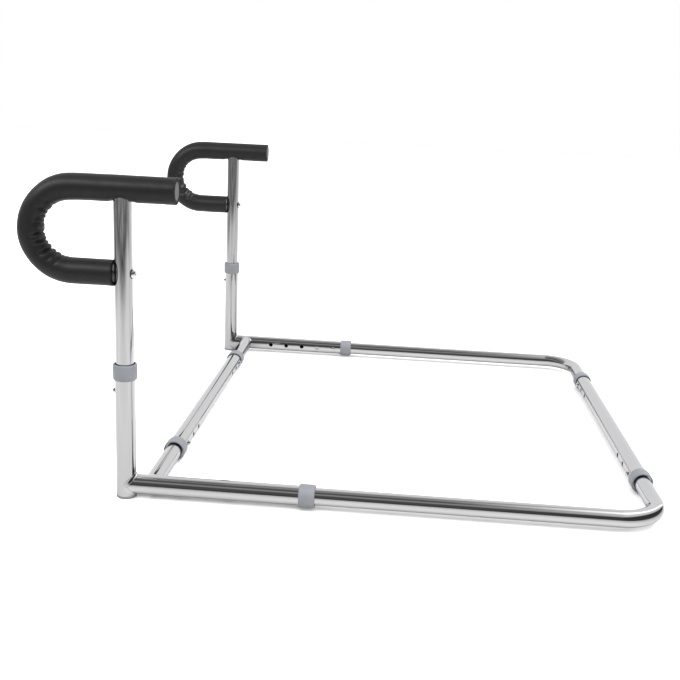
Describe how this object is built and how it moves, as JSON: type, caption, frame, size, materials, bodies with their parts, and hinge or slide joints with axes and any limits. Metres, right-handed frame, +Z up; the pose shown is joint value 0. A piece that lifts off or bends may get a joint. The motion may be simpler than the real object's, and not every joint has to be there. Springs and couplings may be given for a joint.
{
  "type": "couch standing aid",
  "caption": "Chromed tube floor frame that slides under a couch, telescoping in width and depth with snap buttons, with upright foam-gripped handles to push up from when standing.",
  "frame": {"origin": "on the floor, below the middle of the bounding box", "axes": "+X back under the couch, from the posts to the rear cross; +Y from the sitter's left to their right; +Z up"},
  "size_m": [0.9304, 0.8484, 0.4617],
  "materials": {
    "chrome_tube": "polished chrome plate",
    "collar_grey": "satin moulded plastic",
    "cap_grey": "satin moulded plastic",
    "plug_black": "matt moulded plastic",
    "grip_foam": "matt closed-cell rubber foam",
    "screw_steel": "plated steel",
    "button_steel": "plated steel",
    "spring_steel": "spring steel"
  },
  "bodies": {
    "left_frame": {"left_post_tube": "chrome_tube", "left_foot_cap": "collar_grey", "left_post_collar": "collar_grey", "left_side_rail": "chrome_tube", "left_rail_collar": "collar_grey", "left_front_stub": "chrome_tube", "left_frame_welds": "chrome_tube", "left_front_spring": "spring_steel"},
    "left_corner": {"left_corner_tube": "chrome_tube", "left_rail_spring": "spring_steel", "left_rear_spring": "spring_steel"},
    "left_handle": {"left_handle_post": "chrome_tube", "left_handle_tube": "chrome_tube", "left_handle_weld": "chrome_tube", "left_grip": "grip_foam", "left_grip_cap": "cap_grey", "left_handle_plug": "plug_black", "left_handle_screw": "screw_steel", "left_height_spring": "spring_steel"},
    "right_frame": {"right_post_tube": "chrome_tube", "right_foot_cap": "collar_grey", "right_post_collar": "collar_grey", "right_side_rail": "chrome_tube", "right_rail_collar": "collar_grey", "right_front_stub": "chrome_tube", "right_frame_welds": "chrome_tube", "right_front_spring": "spring_steel"},
    "right_corner": {"right_corner_tube": "chrome_tube", "right_rail_spring": "spring_steel", "right_rear_spring": "spring_steel"},
    "right_handle": {"right_handle_post": "chrome_tube", "right_handle_tube": "chrome_tube", "right_handle_weld": "chrome_tube", "right_grip": "grip_foam", "right_grip_cap": "cap_grey", "right_handle_plug": "plug_black", "right_handle_screw": "screw_steel", "right_height_spring": "spring_steel"},
    "front_cross": {"front_sleeve": "chrome_tube", "left_front_collar": "collar_grey", "right_front_collar": "collar_grey"},
    "rear_cross": {"rear_sleeve": "chrome_tube", "left_rear_collar": "collar_grey", "right_rear_collar": "collar_grey"},
    "left_height_button": {"left_height_button": "button_steel"},
    "left_rail_button": {"left_rail_button": "button_steel"},
    "left_front_button": {"left_front_button": "button_steel"},
    "left_rear_button": {"left_rear_button": "button_steel"},
    "right_height_button": {"right_height_button": "button_steel"},
    "right_rail_button": {"right_rail_button": "button_steel"},
    "right_front_button": {"right_front_button": "button_steel"},
    "right_rear_button": {"right_rear_button": "button_steel"}
  },
  "joints": [
    {"name": "depth_slide", "type": "slide", "parent": "left_frame", "child": "left_corner", "axis": [-1, 0, 0], "range_m": [0, 0.14], "deforming": ["left_rail_button", "right_rail_button"]},
    {"name": "left_width_slide", "type": "slide", "parent": "left_frame", "child": "front_cross", "axis": [0, -1, 0], "range_m": [0, 0.076], "deforming": ["left_front_button", "left_rear_button"]},
    {"name": "right_width_slide", "type": "slide", "parent": "front_cross", "child": "right_frame", "axis": [0, -1, 0], "range_m": [0, 0.076], "deforming": ["right_front_button", "right_rear_button"]},
    {"name": "left_rear_width_slide", "type": "slide", "parent": "left_corner", "child": "rear_cross", "axis": [0, -1, 0], "range_m": [0, 0.076]},
    {"name": "right_rear_width_slide", "type": "slide", "parent": "rear_cross", "child": "right_corner", "axis": [0, -1, 0], "range_m": [0, 0.076]},
    {"name": "left_height_slide", "type": "slide", "parent": "left_frame", "child": "left_handle", "axis": [0, 0, -1], "range_m": [0, 0.07], "deforming": ["left_height_button"]},
    {"name": "right_height_slide", "type": "slide", "parent": "right_frame", "child": "right_handle", "axis": [0, 0, -1], "range_m": [0, 0.07], "deforming": ["right_height_button"]},
    {"name": "left_height_button_press", "type": "slide", "parent": "left_handle", "child": "left_height_button", "axis": [1, 0, 0], "range_m": [0, 0.0056], "stiffness_N_per_m": 4000, "deforming": ["left_height_spring"]},
    {"name": "left_rail_button_press", "type": "slide", "parent": "left_corner", "child": "left_rail_button", "axis": [0, -1, 0], "range_m": [0, 0.0056], "stiffness_N_per_m": 4000, "deforming": ["left_rail_spring"]},
    {"name": "left_front_button_press", "type": "slide", "parent": "left_frame", "child": "left_front_button", "axis": [-1, 0, 0], "range_m": [0, 0.0056], "stiffness_N_per_m": 4000, "deforming": ["left_front_spring"]},
    {"name": "left_rear_button_press", "type": "slide", "parent": "left_corner", "child": "left_rear_button", "axis": [1, 0, 0], "range_m": [0, 0.0056], "stiffness_N_per_m": 4000, "deforming": ["left_rear_spring"]},
    {"name": "right_height_button_press", "type": "slide", "parent": "right_handle", "child": "right_height_button", "axis": [1, 0, 0], "range_m": [0, 0.0056], "stiffness_N_per_m": 4000, "deforming": ["right_height_spring"]},
    {"name": "right_rail_button_press", "type": "slide", "parent": "right_corner", "child": "right_rail_button", "axis": [0, 1, 0], "range_m": [0, 0.0056], "stiffness_N_per_m": 4000, "deforming": ["right_rail_spring"]},
    {"name": "right_front_button_press", "type": "slide", "parent": "right_frame", "child": "right_front_button", "axis": [-1, 0, 0], "range_m": [0, 0.0056], "stiffness_N_per_m": 4000, "deforming": ["right_front_spring"]},
    {"name": "right_rear_button_press", "type": "slide", "parent": "right_corner", "child": "right_rear_button", "axis": [1, 0, 0], "range_m": [0, 0.0056], "stiffness_N_per_m": 4000, "deforming": ["right_rear_spring"]}
  ],
  "couplings": [
    {"joint": "left_rear_width_slide", "follows": "left_width_slide", "ratio": 1},
    {"joint": "right_rear_width_slide", "follows": "right_width_slide", "ratio": 1}
  ]
}
